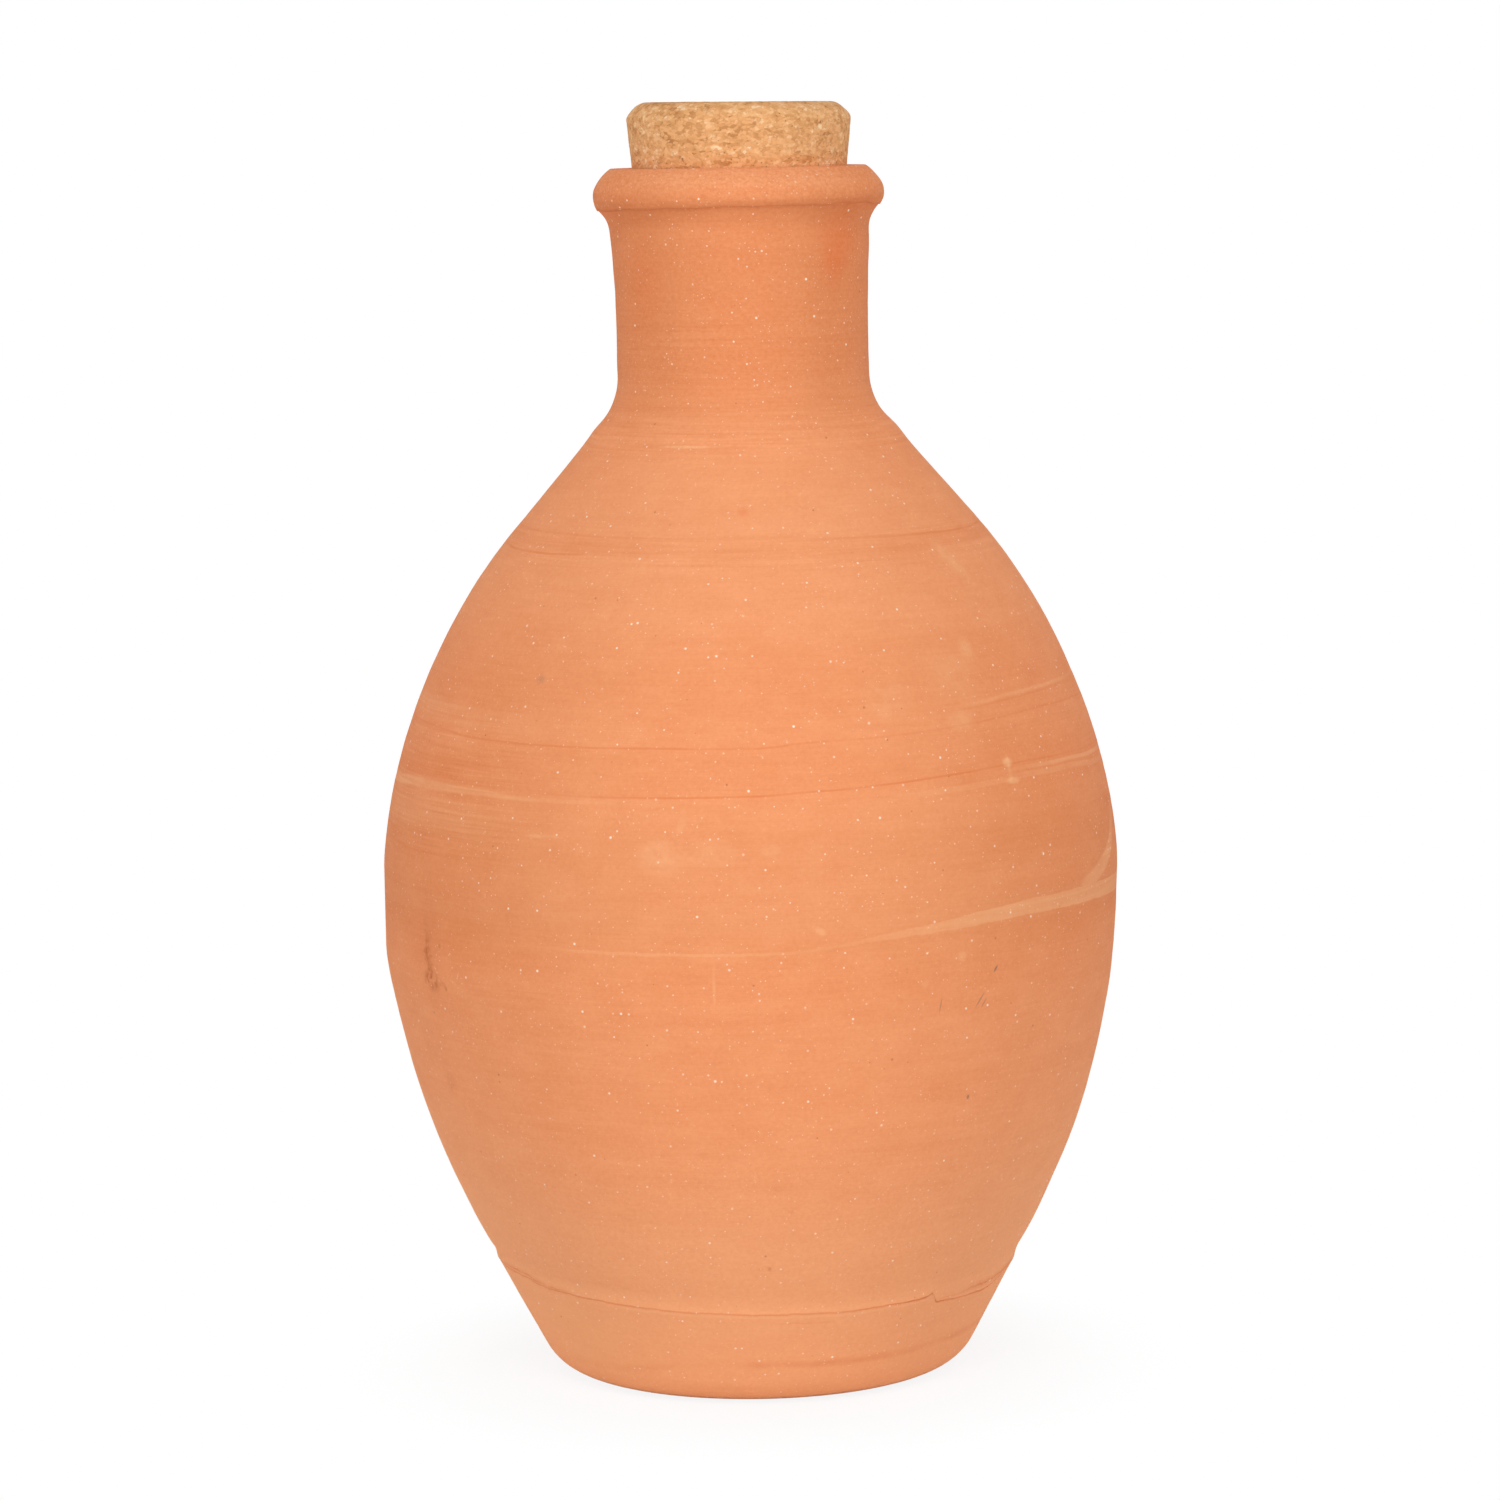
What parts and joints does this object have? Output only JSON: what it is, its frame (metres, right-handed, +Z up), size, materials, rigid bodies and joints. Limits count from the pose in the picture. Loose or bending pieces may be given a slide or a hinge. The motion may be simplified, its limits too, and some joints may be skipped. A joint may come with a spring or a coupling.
{
  "type": "terracotta water jar",
  "caption": "Wheel-thrown unglazed terracotta water bottle with a full belly, a trimmed foot, a short neck with a rolled lip, and a tapered cork stopper that lifts out.",
  "frame": {"origin": "on the ground under the foot, on the jar's axis", "axes": "+Z up along the jar's axis; the jar is round, so +X and +Y point any two square ways across it"},
  "size_m": [0.1812, 0.1812, 0.3124],
  "materials": {
    "terracotta": "matte",
    "cork": "matte"
  },
  "bodies": {
    "jar": {"jar": "terracotta"},
    "stopper": {"cork_stopper": "cork"}
  },
  "joints": [
    {"name": "cork_lift", "type": "slide", "parent": "jar", "child": "stopper", "axis": [0, 0, 1], "range_m": [0, 0.06]}
  ]
}
